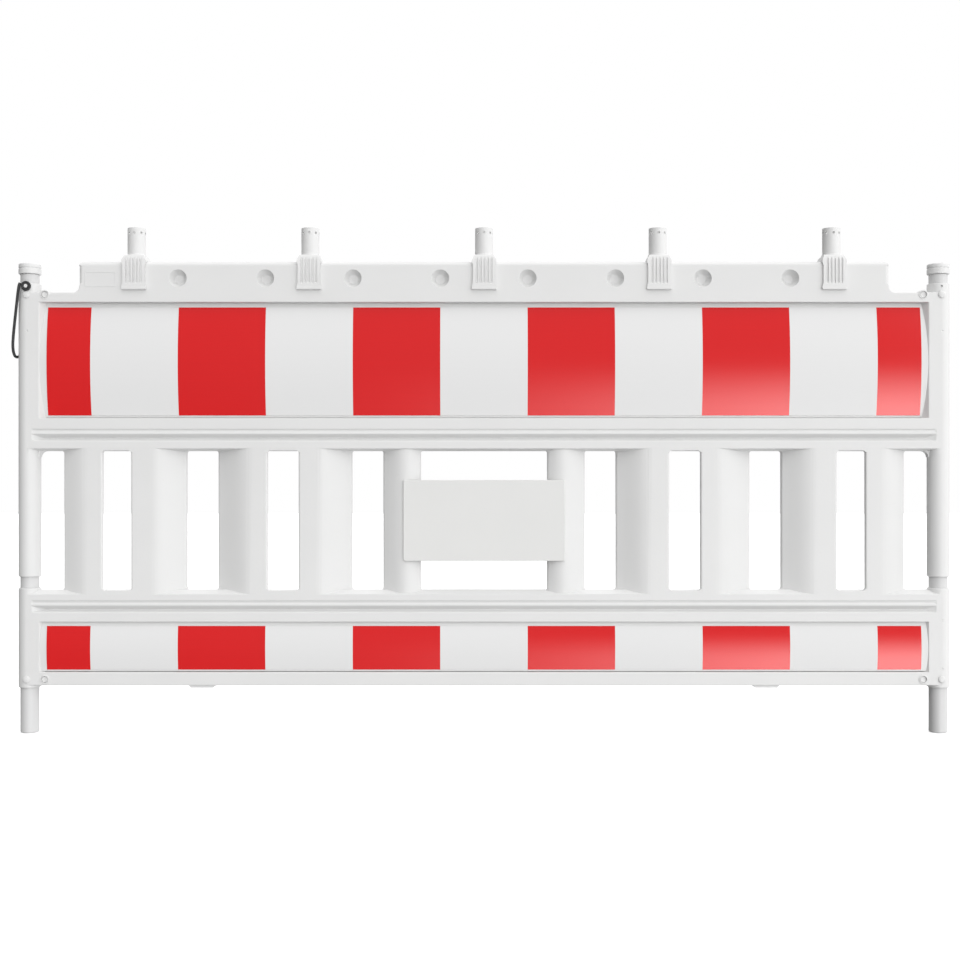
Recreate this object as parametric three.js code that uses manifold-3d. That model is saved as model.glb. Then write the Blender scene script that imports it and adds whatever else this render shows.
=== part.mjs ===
// A plastic traffic barricade: a two-metre white moulded frame between two round end posts.
// It carries a tall and a low reflective board, ten wavy uprights with see-through windows,
// a lettering plate, five lamp adapters, two turning foot tubes and a hanging rubber loop.
//
// Millimetres. X runs along the barricade, -Y is the front, +Z is up. The origin lies midway
// between the lower ends of the two foot tubes, which is where base plates hold it.

import * as THREE from 'three';
import { mergeVertices } from 'three/addons/utils/BufferGeometryUtils.js';
import Module from 'manifold-3d';

const wasm = await Module();
wasm.setup();

// ---------------------------------------------------------------- driving dimensions

const GAP = 0.3; // room left between two pieces that touch
const HALF_DEPTH = 25; // front face of the frame to its middle plane

const POST_X = 1046; // middle of the frame to the axis of an end post
const SLEEVE_R = 25;
const SLEEVE_BORE_R = 21.4;
const TUBE_R = 21;
const TUBE_WALL = 4;
const SLEEVE_BOTTOM = 104;
const SLEEVE_GAP = [332, 358]; // the stretch of foot tube that shows between the two sleeves
const SLEEVE_TOP = 1031;
const CAP_BOTTOM = 1053;
const CAP_TOP = 1077;

const RAIL_END = 1014; // middle of the frame to the side wall of the board recesses
const BOTTOM_RAIL = [110, 141];
const LOWER_BOARD = [141, 256];
const LOWER_MID_RAIL = [256, 328];
const UPPER_MID_RAIL = [646.5, 723.5];
const RAIL_GROOVE = { lower: 285, upper: 678, half: 7, depth: 10 };
const UPPER_BOARD = [723.5, 986.5];
const SHOULDER = 1009; // top of the frame's ends
const FLANGE_TOP = 1080;
const FLANGE_X = 926; // half the length of the raised top flange
const SLOPE_RISE = { lower: 9.3, upper: 5.5 }; // draft of the mid rails towards the windows

const FILM_HALF = 1000;
const UPPER_FILM = { middle: 852, height: 248, bulge: 12 };
const LOWER_FILM = { middle: 196, height: 100, bulge: 4 };
const FILM_THICKNESS = 0.6;
const BOARD_FRONT = 24; // middle plane to the crown of a board
const BOARD_END_GAP = 0.3;

const WEB = 14; // wall thickness of the wavy uprights
const ADAPTER_PITCH = 400;
const ADAPTER_COUNT = 5;
const PLATE = { half: 184.5, bottom: 395, top: 580, thick: 5, front: 27 };
const LOOP_DIAMETER = 6.5;
const LOOP_Z = 1023;
const LOOP_SCREW = { headR: 4.2, head: 2.5, neckR: 3.6, shankR: 2.2 };

// how many flats stand for each round shape
const SIDES = { post: 28, lampTube: 24, dimple: 16, hole: 8, small: 12 };

// windows between the uprights, left half only: [outer edge, inner edge] from the middle
const WINDOWS = [[1011, 966], [872, 807], [685, 613], [495, 424], [304, 232]];
const CENTRE_WINDOW = 145;

// ---------------------------------------------------------------- looks of the raw model

const FINISH = {
  shell: { color: 0xe6e6e6, roughness: 0.45, metalness: 0 },
  tube: { color: 0xdedede, roughness: 0.4, metalness: 0 },
  board: { color: 0xe9e9e9, roughness: 0.4, metalness: 0 },
  film: { color: 0xdd2020, roughness: 0.25, metalness: 0 },
  plate: { color: 0xe1e1df, roughness: 0.5, metalness: 0 },
  plug: { color: 0xe4e4e4, roughness: 0.4, metalness: 0 },
  rubber: { color: 0x242424, roughness: 0.75, metalness: 0 },
};

const barricade = new THREE.Group();

function place(name, geometry, finish) {
  const mesh = new THREE.Mesh(geometry, new THREE.MeshStandardMaterial(FINISH[finish]));
  mesh.name = name;
  barricade.add(mesh);
}

// ---------------------------------------------------------------- shape helpers

const X = new THREE.Vector3(1, 0, 0);
const Y = new THREE.Vector3(0, 1, 0);
const Z = new THREE.Vector3(0, 0, 1);

function shapeOf(points) {
  return new THREE.Shape(points.map(([a, b]) => new THREE.Vector2(a, b)));
}

function extruded(points, length) {
  return new THREE.ExtrudeGeometry(shapeOf(points), { depth: length, bevelEnabled: false });
}

// outline in (y, z), run along X from x0 to x1
function alongX(points, x0, x1) {
  const geometry = extruded(points, x1 - x0);
  geometry.applyMatrix4(new THREE.Matrix4().makeBasis(Y, Z, X));
  return geometry.translate(x0, 0, 0);
}

// outline in (x, z), run along Y from y0 to y1
function alongY(points, y0, y1) {
  const geometry = extruded(points, y1 - y0);
  geometry.applyMatrix4(new THREE.Matrix4().makeBasis(X, Z, Y.clone().negate()));
  return geometry.translate(0, y1, 0);
}

// outline in (x, y), run along Z from z0 to z1
function alongZ(points, z0, z1) {
  return extruded(points, z1 - z0).translate(0, 0, z0);
}

function box(x0, x1, y0, y1, z0, z1) {
  const geometry = new THREE.BoxGeometry(x1 - x0, y1 - y0, z1 - z0);
  return geometry.translate((x0 + x1) / 2, (y0 + y1) / 2, (z0 + z1) / 2);
}

// profile of [radius, height] turned round Z
function turned(profile, sides) {
  const points = profile.map(([r, h]) => new THREE.Vector2(r, h));
  return new THREE.LatheGeometry(points, sides).rotateX(Math.PI / 2);
}

// profile of [radius, distance out of the face] turned round Y at (x, z); facing is -1 or +1
function turnedOnFace(profile, sides, x, z, facing) {
  const geometry = turned(profile, sides).rotateX(facing < 0 ? Math.PI / 2 : -Math.PI / 2);
  return geometry.translate(x, 0, z);
}

function rod(radius, z0, z1, sides) {
  return turned([[0, z0], [radius, z0], [radius, z1], [0, z1]], sides);
}

function rodAcross(radius, y0, y1, x, z, sides = SIDES.small) {
  const profile = [[0, y0], [radius, y0], [radius, y1], [0, y1]];
  return turnedOnFace(profile, sides, x, z, 1);
}

// ---------------------------------------------------------------- joining and cutting

function toSolid(geometry) {
  const bare = geometry.clone();
  bare.deleteAttribute('normal');
  bare.deleteAttribute('uv');
  const merged = mergeVertices(bare, 1e-4);
  return new wasm.Manifold(new wasm.Mesh({
    numProp: 3,
    vertProperties: new Float32Array(merged.attributes.position.array),
    triVerts: new Uint32Array(merged.index.array),
  }));
}

function toGeometry(solid) {
  const mesh = solid.getMesh();
  const geometry = new THREE.BufferGeometry();
  geometry.setAttribute('position', new THREE.BufferAttribute(mesh.vertProperties, 3));
  geometry.setIndex(new THREE.BufferAttribute(mesh.triVerts, 1));
  return geometry;
}

const join = (first, ...rest) => rest.reduce((solid, g) => solid.add(toSolid(g)), first);
const cut = (first, ...rest) => rest.reduce((solid, g) => solid.subtract(toSolid(g)), first);

// ---------------------------------------------------------------- rails of the frame

const DIMPLE = { pitch: 200, r: 20.5, floorR: 10.5, depth: 19, z: 1041 };
const BOSS = { x: 1004, r: 9.5, headR: 7, shankR: 5, sink: 3 };
const BOSS_Z = { upper: 1004, lower: 124 };
const BEVEL = 8;

function flangeOutline() {
  const fillet = 14;
  const end = RAIL_END - GAP;
  const corner = new THREE.EllipseCurve(
    FLANGE_X + fillet, SHOULDER + fillet, fillet, fillet, -Math.PI / 2, -Math.PI, true);
  const rightSide = [[end, UPPER_BOARD[1]], [end, SHOULDER]];
  corner.getPoints(4).forEach((p) => rightSide.push([p.x, p.y]));
  rightSide.push([FLANGE_X, FLANGE_TOP - BEVEL], [FLANGE_X - BEVEL, FLANGE_TOP]);
  const leftSide = rightSide.map(([x, z]) => [-x, z]).reverse();
  return [...rightSide, ...leftSide];
}

function railSection(z0, z1) {
  return [[-HALF_DEPTH, z0], [HALF_DEPTH, z0], [HALF_DEPTH, z1], [-HALF_DEPTH, z1]];
}

function bossCuts(x, z) {
  const face = HALF_DEPTH + 1;
  return [
    rodAcross(BOSS.shankR + GAP, -face, face, x, z),
    rodAcross(BOSS.headR + GAP, -face, -HALF_DEPTH + BOSS.sink, x, z),
    rodAcross(BOSS.headR + GAP, HALF_DEPTH - BOSS.sink, face, x, z),
  ];
}

function withBosses(rail, z) {
  let solid = rail;
  for (const x of [-BOSS.x, BOSS.x]) {
    solid = join(solid, rodAcross(BOSS.r, -HALF_DEPTH, HALF_DEPTH, x, z));
    solid = cut(solid, ...bossCuts(x, z));
  }
  return solid;
}

function topRail() {
  const section = [
    [-HALF_DEPTH, UPPER_BOARD[1] - 1], [HALF_DEPTH, UPPER_BOARD[1] - 1],
    [HALF_DEPTH, FLANGE_TOP - BEVEL], [HALF_DEPTH - BEVEL, FLANGE_TOP],
    [-HALF_DEPTH + BEVEL, FLANGE_TOP], [-HALF_DEPTH, FLANGE_TOP - BEVEL],
  ];
  const flange = toSolid(alongY(flangeOutline(), -HALF_DEPTH, HALF_DEPTH));
  let solid = flange.intersect(toSolid(alongX(section, -RAIL_END, RAIL_END)));
  const profile = [
    [0, HALF_DEPTH - DIMPLE.depth], [DIMPLE.floorR, HALF_DEPTH - DIMPLE.depth],
    [DIMPLE.r, HALF_DEPTH + 1], [0, HALF_DEPTH + 1],
  ];
  for (let x = -3.5 * DIMPLE.pitch; x < 4 * DIMPLE.pitch; x += DIMPLE.pitch) {
    for (const facing of [-1, 1]) {
      solid = cut(solid, turnedOnFace(profile, SIDES.dimple, x, DIMPLE.z, facing));
    }
  }
  return withBosses(solid, BOSS_Z.upper);
}

// a mid rail's section: a long groove in each face, and a sloped ledge on its window side
function midRailSection([z0, z1], windowAbove, grow = 0) {
  const rise = windowAbove ? SLOPE_RISE.lower : SLOPE_RISE.upper;
  const edge = windowAbove ? z1 - rise : z0 + rise;
  const crest = windowAbove ? z1 + grow : z0 - grow;
  const shoulder = windowAbove ? edge + grow : edge - grow;
  const far = windowAbove ? z0 : z1;
  const up = windowAbove ? 1 : -1;
  const groove = windowAbove ? RAIL_GROOVE.lower : RAIL_GROOVE.upper;
  const side = [
    [HALF_DEPTH, groove - up * RAIL_GROOVE.half],
    [HALF_DEPTH - RAIL_GROOVE.depth, groove],
    [HALF_DEPTH, groove + up * RAIL_GROOVE.half],
    [HALF_DEPTH, shoulder],
  ];
  const back = [[HALF_DEPTH, far], ...side, [WEB / 2, crest]];
  const front = back.map(([y, z]) => [-y, z]).reverse();
  return [...back, ...front];
}

function midRail(levels, windowAbove) {
  const section = midRailSection(levels, windowAbove);
  return alongX(section, -RAIL_END + GAP, RAIL_END - GAP);
}

const RAIL_FOOT = { x: 645.5, half: 30, drop: 5.5, toe: 5 };

function bottomRail() {
  const end = RAIL_END - GAP;
  let solid = toSolid(alongX(railSection(...BOTTOM_RAIL), -end, end));
  for (const side of [-1, 1]) {
    const { x, half, drop, toe } = RAIL_FOOT;
    const base = BOTTOM_RAIL[0];
    const foot = [
      [side * x - half, base + 1], [side * x - half + toe, base - drop],
      [side * x + half - toe, base - drop], [side * x + half, base + 1],
    ];
    solid = join(solid, alongY(foot, -HALF_DEPTH + 3, HALF_DEPTH - 3));
  }
  return withBosses(solid, BOSS_Z.lower);
}

place('top_rail', toGeometry(topRail()), 'shell');
place('upper_mid_rail', midRail(UPPER_MID_RAIL, false), 'shell');
place('lower_mid_rail', midRail(LOWER_MID_RAIL, true), 'shell');
place('bottom_rail', toGeometry(bottomRail()), 'shell');

// ---------------------------------------------------------------- wavy uprights

// how far the front of the web lies behind the frame's front face at a distance from the middle
function recess(x) {
  const d = Math.abs(x);
  const deepest = 2 * HALF_DEPTH - WEB;
  const valley = [268, 645, 1022].find((c) => Math.abs(d - c) <= 116);
  if (d < 268) {
    const crest = 3;
    return crest + (deepest - crest) * 0.5 * (1 + Math.cos(Math.PI * (268 - d) / 88));
  }
  if (valley === undefined) return 0;
  return deepest * 0.5 * (1 + Math.cos(Math.PI * (d - valley) / 116));
}

function upright(from, to) {
  const steps = Math.round((to - from) / 9);
  const front = [];
  for (let i = 0; i <= steps; i += 1) {
    const x = from + (to - from) * i / steps;
    front.push([x, -HALF_DEPTH + recess(x)]);
  }
  const back = front.map(([x, y]) => [x, y + WEB]).reverse();
  const low = LOWER_MID_RAIL[1] - SLOPE_RISE.lower - 5;
  const high = UPPER_MID_RAIL[0] + SLOPE_RISE.upper + 5;
  const solid = toSolid(alongZ([...front, ...back], low, high));
  return cut(
    solid,
    alongX(midRailSection(LOWER_MID_RAIL, true, GAP), -RAIL_END, RAIL_END),
    alongX(midRailSection(UPPER_MID_RAIL, false, GAP), -RAIL_END, RAIL_END),
  );
}

const leftUprights = WINDOWS.map(([, inner], i) => {
  const next = WINDOWS[i + 1];
  return [-inner, next ? -next[0] : -CENTRE_WINDOW];
});
const uprights = [...leftUprights, ...leftUprights.map(([a, b]) => [-b, -a]).reverse()];
uprights.forEach(([from, to], i) => {
  place(`upright_${i + 1}`, toGeometry(upright(from, to)), 'shell');
});

// ---------------------------------------------------------------- boards and their sheeting

function arcRadius({ height, bulge }) {
  return (height * height / 4 + bulge * bulge) / (2 * bulge);
}

// points of a board's crowned front between two heights, lifted off the board by a little
function crown(film, z0, z1, lift, steps) {
  const radius = arcRadius(film);
  const centreY = -BOARD_FRONT + radius;
  const points = [];
  for (let i = 0; i <= steps; i += 1) {
    const z = z0 + (z1 - z0) * i / steps;
    const dz = z - film.middle;
    points.push([centreY - Math.sqrt(radius * radius - dz * dz) - lift, z]);
  }
  return points;
}

function board(film, [z0, z1]) {
  const front = crown(film, z0 + GAP, z1 - GAP, 0, 10);
  const back = front.map(([y, z]) => [-y, z]).reverse();
  const half = RAIL_END - BOARD_END_GAP;
  return alongX([...front, ...back].reverse(), -half, half);
}

function film(spec, side) {
  const z0 = spec.middle - spec.height / 2;
  const z1 = spec.middle + spec.height / 2;
  const under = crown(spec, z0, z1, GAP, 10);
  const over = crown(spec, z0, z1, GAP + FILM_THICKNESS, 10).reverse();
  const outline = [...under, ...over].map(([y, z]) => [-side * y, z]);
  return alongX(outline, -FILM_HALF, FILM_HALF);
}

place('upper_board', board(UPPER_FILM, UPPER_BOARD), 'board');
place('lower_board', board(LOWER_FILM, LOWER_BOARD), 'board');
place('upper_sheeting_front', film(UPPER_FILM, -1), 'film');
place('upper_sheeting_back', film(UPPER_FILM, 1), 'film');
place('lower_sheeting_front', film(LOWER_FILM, -1), 'film');
place('lower_sheeting_back', film(LOWER_FILM, 1), 'film');

// ---------------------------------------------------------------- lettering plates

for (const [name, side] of [['front', -1], ['back', 1]]) {
  const outer = side * PLATE.front;
  const inner = side * (PLATE.front - PLATE.thick + GAP);
  const [y0, y1] = [outer, inner].sort((a, b) => a - b);
  const plate = box(-PLATE.half, PLATE.half, y0, y1, PLATE.bottom, PLATE.top);
  place(`lettering_plate_${name}`, plate, 'plate');
}

// ---------------------------------------------------------------- end posts

const PLUG = { domeR: 9.2, rise: 3.5, shankR: 4, length: 3 };
const SLEEVES = {
  upper: { z0: SLEEVE_GAP[1], z1: SLEEVE_TOP, plugZ: 1004, web: [UPPER_MID_RAIL[0], SHOULDER] },
  lower: { z0: SLEEVE_BOTTOM, z1: SLEEVE_GAP[0], plugZ: 124, web: [110, LOWER_MID_RAIL[1]] },
};

function sleeve(side, { z0, z1, plugZ, web }) {
  const axis = side * POST_X;
  const rim = 2;
  const shell = turned([
    [0, z0], [SLEEVE_R - rim, z0], [SLEEVE_R, z0 + rim],
    [SLEEVE_R, z1 - rim], [SLEEVE_R - rim, z1], [0, z1],
  ], SIDES.post).translate(axis, 0, 0);
  const [x0, x1] = [side * RAIL_END, axis].sort((a, b) => a - b);
  const block = box(x0, x1, -HALF_DEPTH, HALF_DEPTH, ...web);
  const solid = join(toSolid(shell), block);
  const reach = SLEEVE_R + 2;
  const cuts = [
    rod(SLEEVE_BORE_R, z0 - 1, z1 + 1, SIDES.post).translate(axis, 0, 0),
    rodAcross(PLUG.shankR + GAP, -reach, -SLEEVE_BORE_R + 2, axis, plugZ),
    rodAcross(PLUG.shankR + GAP, SLEEVE_BORE_R - 2, reach, axis, plugZ),
  ];
  if (z1 === SLEEVE_TOP) {
    cuts.push(rodAcross(LOOP_SCREW.shankR + GAP, -reach, -SLEEVE_BORE_R + 2, axis, LOOP_Z));
    cuts.push(rodAcross(LOOP_SCREW.shankR + GAP, SLEEVE_BORE_R - 2, reach, axis, LOOP_Z));
  }
  return cut(solid, ...cuts);
}

for (const [sideName, side] of [['left', -1], ['right', 1]]) {
  for (const [level, spec] of Object.entries(SLEEVES)) {
    place(`${level}_sleeve_${sideName}`, toGeometry(sleeve(side, spec)), 'shell');
    for (const [faceName, facing] of [['front', -1], ['back', 1]]) {
      const seat = SLEEVE_R + GAP;
      const dome = [
        [0, seat - PLUG.length], [PLUG.shankR, seat - PLUG.length], [PLUG.shankR, seat],
        [PLUG.domeR, seat], [PLUG.domeR * 0.9, seat + PLUG.rise * 0.55],
        [PLUG.domeR * 0.55, seat + PLUG.rise * 0.9], [0, seat + PLUG.rise],
      ];
      const plug = turnedOnFace(dome, SIDES.small, side * POST_X, spec.plugZ, facing);
      place(`${level}_plug_${sideName}_${faceName}`, plug, 'plug');
    }
  }
}

// ---------------------------------------------------------------- rivets in the frame's corners

for (const [level, z] of Object.entries(BOSS_Z)) {
  for (const [sideName, x] of [['left', -BOSS.x], ['right', BOSS.x]]) {
    const headTop = HALF_DEPTH - 0.5;
    const headBase = HALF_DEPTH - BOSS.sink + GAP;
    const half = [[BOSS.shankR, headBase], [BOSS.headR, headBase], [BOSS.headR, headTop]];
    const profile = [[0, -headTop], ...half.map(([r, h]) => [r, -h]).reverse(), ...half];
    const rivet = turnedOnFace([...profile, [0, headTop]], SIDES.small, x, z, 1);
    place(`corner_rivet_${level}_${sideName}`, rivet, 'plug');
  }
}

// ---------------------------------------------------------------- turning foot tubes and caps

const TUBE_TOP = CAP_BOTTOM - GAP;
const SPIGOT = { r: TUBE_R - TUBE_WALL - GAP, length: 30 };

function footTube() {
  const inner = TUBE_R - TUBE_WALL;
  const floor = 6;
  return turned([
    [0, 0], [TUBE_R - 3, 0], [TUBE_R, 3], [TUBE_R, TUBE_TOP],
    [inner, TUBE_TOP], [inner, floor], [0, floor],
  ], SIDES.post);
}

function tubeCap() {
  const waist = CAP_BOTTOM + 13.5;
  return turned([
    [0, CAP_BOTTOM - SPIGOT.length], [SPIGOT.r, CAP_BOTTOM - SPIGOT.length],
    [SPIGOT.r, CAP_BOTTOM], [SLEEVE_R - 1.5, CAP_BOTTOM], [SLEEVE_R, CAP_BOTTOM + 1.5],
    [SLEEVE_R, waist - 1.2], [SLEEVE_R - 1.2, waist], [SLEEVE_R, waist + 1.2],
    [SLEEVE_R, CAP_TOP - 3], [SLEEVE_R - 4, CAP_TOP], [0, CAP_TOP],
  ], SIDES.post);
}

for (const [sideName, side] of [['left', -1], ['right', 1]]) {
  place(`foot_tube_${sideName}`, footTube().translate(side * POST_X, 0, 0), 'tube');
  place(`tube_cap_${sideName}`, tubeCap().translate(side * POST_X, 0, 0), 'shell');
}

// ---------------------------------------------------------------- lamp adapters

const SADDLE = { top: 1095, bottom: 1015, half: 24, hip: 28.5, hipZ: 1056, wall: 6 };
const LAMP_TUBE = { r: 20.5, wall: 3.5, top: 1159, holeR: 3, holeZ: 1148, holes: 8 };
const RIB = { count: 5, pitch: 8.2, half: 1.4, depth: 2, z0: 1036, z1: 1088 };

function lampAdapter() {
  const outer = HALF_DEPTH + GAP + SADDLE.wall;
  const outline = [
    [-SADDLE.hip, SADDLE.bottom], [SADDLE.hip, SADDLE.bottom], [SADDLE.hip, SADDLE.hipZ],
    [SADDLE.half, SADDLE.hipZ + 6], [SADDLE.half, SADDLE.top - 6], [SADDLE.half - 3, SADDLE.top],
    [-SADDLE.half + 3, SADDLE.top], [-SADDLE.half, SADDLE.top - 6],
    [-SADDLE.half, SADDLE.hipZ + 6], [-SADDLE.hip, SADDLE.hipZ],
  ];
  let solid = toSolid(alongY(outline, -outer, outer));
  const inner = HALF_DEPTH + GAP;
  const seat = FLANGE_TOP + GAP;
  const flange = [
    [-inner, SADDLE.bottom - 1], [inner, SADDLE.bottom - 1], [inner, seat - BEVEL],
    [inner - BEVEL, seat], [-inner + BEVEL, seat], [-inner, seat - BEVEL],
  ];
  solid = cut(solid, alongX(flange, -40, 40));
  solid = join(solid, rod(LAMP_TUBE.r, SADDLE.top - 2, LAMP_TUBE.top, SIDES.lampTube));
  const bore = LAMP_TUBE.r - LAMP_TUBE.wall;
  solid = cut(solid, rod(bore, SADDLE.top - 6, LAMP_TUBE.top + 1, SIDES.lampTube));
  for (let i = 0; i < LAMP_TUBE.holes / 2; i += 1) {
    const drill = rodAcross(LAMP_TUBE.holeR, -30, 30, 0, LAMP_TUBE.holeZ, SIDES.hole);
    solid = cut(solid, drill.rotateZ(2 * Math.PI * i / LAMP_TUBE.holes));
  }
  for (let i = 0; i < RIB.count; i += 1) {
    const x = (i - (RIB.count - 1) / 2) * RIB.pitch;
    for (const side of [-1, 1]) {
      const [y0, y1] = [side * (outer - RIB.depth), side * (outer + 1)].sort((a, b) => a - b);
      solid = cut(solid, box(x - RIB.half, x + RIB.half, y0, y1, RIB.z0, RIB.z1));
    }
  }
  return toGeometry(solid);
}

for (let i = 0; i < ADAPTER_COUNT; i += 1) {
  const x = (i - (ADAPTER_COUNT - 1) / 2) * ADAPTER_PITCH;
  place(`lamp_adapter_${i + 1}`, lampAdapter().translate(x, 0, 0), 'shell');
}

// ---------------------------------------------------------------- rubber loop on the left post

const EYE = { ringR: 8, wireR: LOOP_DIAMETER / 2, y: SLEEVE_R + GAP + LOOP_DIAMETER / 2 };

for (const [faceName, facing] of [['front', -1], ['back', 1]]) {
  const headFrom = EYE.y + 1;
  const screw = [
    [0, SLEEVE_R - 3], [LOOP_SCREW.shankR, SLEEVE_R - 3], [LOOP_SCREW.shankR, SLEEVE_R + GAP],
    [LOOP_SCREW.neckR, SLEEVE_R + GAP], [LOOP_SCREW.neckR, headFrom],
    [LOOP_SCREW.headR, headFrom], [LOOP_SCREW.headR, headFrom + LOOP_SCREW.head],
    [0, headFrom + LOOP_SCREW.head],
  ];
  const x = -POST_X;
  place(`loop_screw_${faceName}`, turnedOnFace(screw, SIDES.small, x, LOOP_Z, facing), 'plug');
  const ring = new THREE.TorusGeometry(EYE.ringR, EYE.wireR - 0.05, 6, 18).rotateX(Math.PI / 2);
  place(`loop_eye_${faceName}`, ring.translate(x, facing * EYE.y, LOOP_Z), 'rubber');
}

// the loop's route: out of the front eye, down beside the post, under it and up to the back eye
const LOOP_ROUTE = [
  [-1058.9, -28.8, 1030.2], [-1060.9, -28.8, 1025.5], [-1062.4, -28.7, 1019.0],
  [-1063.6, -28.5, 1011.0], [-1065.0, -28.2, 1000.0], [-1068.6, -27.4, 970.0],
  [-1072.8, -26.2, 935.0], [-1076.4, -23.8, 905.0], [-1078.6, -19.5, 886.0],
  [-1079.2, -11.5, 871.0], [-1078.2, -1.5, 864.0], [-1075.4, 9.0, 865.0],
  [-1070.8, 18.6, 873.0], [-1064.8, 25.6, 887.0], [-1060.8, 28.8, 906.0],
  [-1059.6, 29.2, 935.0], [-1060.2, 29.0, 970.0], [-1061.4, 28.8, 1000.0],
  [-1062.2, 28.8, 1011.0], [-1062.0, 28.8, 1019.0], [-1060.9, 28.8, 1025.5],
  [-1058.9, 28.8, 1030.2],
];

function hangingLoop() {
  const points = LOOP_ROUTE.map((p) => new THREE.Vector3(...p));
  const path = new THREE.CatmullRomCurve3(points, false, 'centripetal');
  const section = [];
  for (let i = 0; i < 8; i += 1) {
    const angle = Math.PI * 2 * (i + 0.5) / 8;
    section.push([LOOP_DIAMETER / 2 * Math.cos(angle), LOOP_DIAMETER / 2 * Math.sin(angle)]);
  }
  return new THREE.ExtrudeGeometry(shapeOf(section), {
    steps: 40, extrudePath: path, bevelEnabled: false,
  });
}

place('hanging_loop', hangingLoop(), 'rubber');

export default barricade;
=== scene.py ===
"""Looks of a plastic road barricade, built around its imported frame.

It is laid out as an add-on and run as a script. Outlines and sizes in the code are millimetres,
in the frame's own axes: X along the barricade, -Y to the front, +Z up.
"""

import math

import bmesh
import bpy
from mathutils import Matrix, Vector


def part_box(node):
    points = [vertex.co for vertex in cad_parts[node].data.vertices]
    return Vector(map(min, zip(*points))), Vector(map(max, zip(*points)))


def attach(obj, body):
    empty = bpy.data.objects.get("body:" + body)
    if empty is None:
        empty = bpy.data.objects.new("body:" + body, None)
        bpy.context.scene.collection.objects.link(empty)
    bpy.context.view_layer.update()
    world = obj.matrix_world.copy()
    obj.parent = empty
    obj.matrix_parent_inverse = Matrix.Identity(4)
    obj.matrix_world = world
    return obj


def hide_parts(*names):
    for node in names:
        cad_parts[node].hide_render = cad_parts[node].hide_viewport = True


bl_info = {
    "name": "Road Barricade",
    "version": (1, 0, 0),
    "blender": (4, 5, 0),
    "location": "View3D > Sidebar > Barricade",
    "description": "Builds the visible parts of a plastic road barricade around its packed frame",
    "category": "Add Mesh",
}

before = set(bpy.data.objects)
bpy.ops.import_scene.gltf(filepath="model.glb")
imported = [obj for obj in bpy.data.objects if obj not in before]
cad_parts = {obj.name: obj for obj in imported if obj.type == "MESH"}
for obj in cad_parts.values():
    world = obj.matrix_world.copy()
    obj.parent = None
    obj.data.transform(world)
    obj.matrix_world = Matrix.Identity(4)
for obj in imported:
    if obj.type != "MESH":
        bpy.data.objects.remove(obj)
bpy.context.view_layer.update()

MM = 0.001


def limits(node):
    """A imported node's lowest and highest corner, in millimetres."""
    low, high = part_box(node)
    return low / MM, high / MM


# ---------------------------------------------------------------- levels taken from the frame

TUBE_LOW, TUBE_HIGH = limits("foot_tube_right")
POST_X = (TUBE_LOW.x + TUBE_HIGH.x) / 2
TUBE_R = (TUBE_HIGH.x - TUBE_LOW.x) / 2
SLEEVE_R = limits("upper_sleeve_right")[1].y
FACE = SLEEVE_R  # middle plane to the front face of the moulding
SLEEVES = [(limits(n)[0].z, limits(n)[1].z) for n in ("lower_sleeve_left", "upper_sleeve_left")]
CAP_LOW = limits("foot_tube_left")[1].z + 0.3
CAP_TOP = limits("tube_cap_left")[1].z
FLANGE_X = 926.0
FLANGE_TOP = limits("top_rail")[1].z
SHOULDER = 1009.0
UPPER_SILL = limits("upper_mid_rail")[0].z
LOWER_SILL = limits("lower_mid_rail")[1].z
BASE = 110.0
BOARDS = {
    "upper": (limits("upper_board")[0].z - 2.0, limits("upper_board")[1].z + 0.3),
    "lower": (limits("lower_board")[0].z - 0.3, limits("lower_board")[1].z + 0.3),
}
CROWNS = {  # the film on each board: middle, height, and how far the board bulges across it
    "upper": (852.0, 248.0, 12.0),
    "lower": (196.0, 100.0, 4.0),
}
FILM_HALF = limits("upper_sheeting_front")[1].x
BOARD_FRONT = 24.0
RECESS_END = 1017.0  # middle to the slanted end wall of a board's recess, at the face
RECESS_DEEP = 1004.0  # and where that wall runs out, deep between the faces
RECESS_CORE = 10.0

WEB = 14.0
WINDOWS = [(1040, 966), (872, 807), (685, 613), (495, 424), (304, 232)]
CENTRE_WINDOW = 145.0
PLATE = limits("lettering_plate_front")
PLATE_BACK = limits("lettering_plate_back")
ADAPTERS = [f"lamp_adapter_{i}" for i in range(1, 6)]
SIDES = (("left", -1), ("right", 1))
FACES = (("front", -1), ("back", 1))
CORNERS = [(side * 1004.0, z) for side in (-1, 1) for z in (1004.0, 124.0)]


# ---------------------------------------------------------------- what a user would change


class BarricadeSizes(bpy.types.PropertyGroup):
    """Sizes of the barricade's visible parts."""

    loop_thickness: bpy.props.FloatProperty(
        name="Loop thickness", description="Diameter of the rubber loop's cord",
        default=0.0065, min=0.003, max=0.012, unit="LENGTH")
    block_length: bpy.props.FloatProperty(
        name="Block length", description="Length of one red or white block of the sheeting",
        default=0.2, min=0.05, max=0.5, unit="LENGTH")
    edge_rounding: bpy.props.FloatProperty(
        name="Edge rounding", description="Radius of the moulding's plain outer edges",
        default=0.0025, min=0.001, max=0.004, unit="LENGTH")
    window_rounding: bpy.props.FloatProperty(
        name="Window rounding", description="Radius of the edges round the windows",
        default=0.004, min=0.001, max=0.005, unit="LENGTH")


def colour(name, description, default):
    return bpy.props.FloatVectorProperty(
        name=name, description=description, default=default, size=3, min=0, max=1,
        subtype="COLOR")


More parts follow.
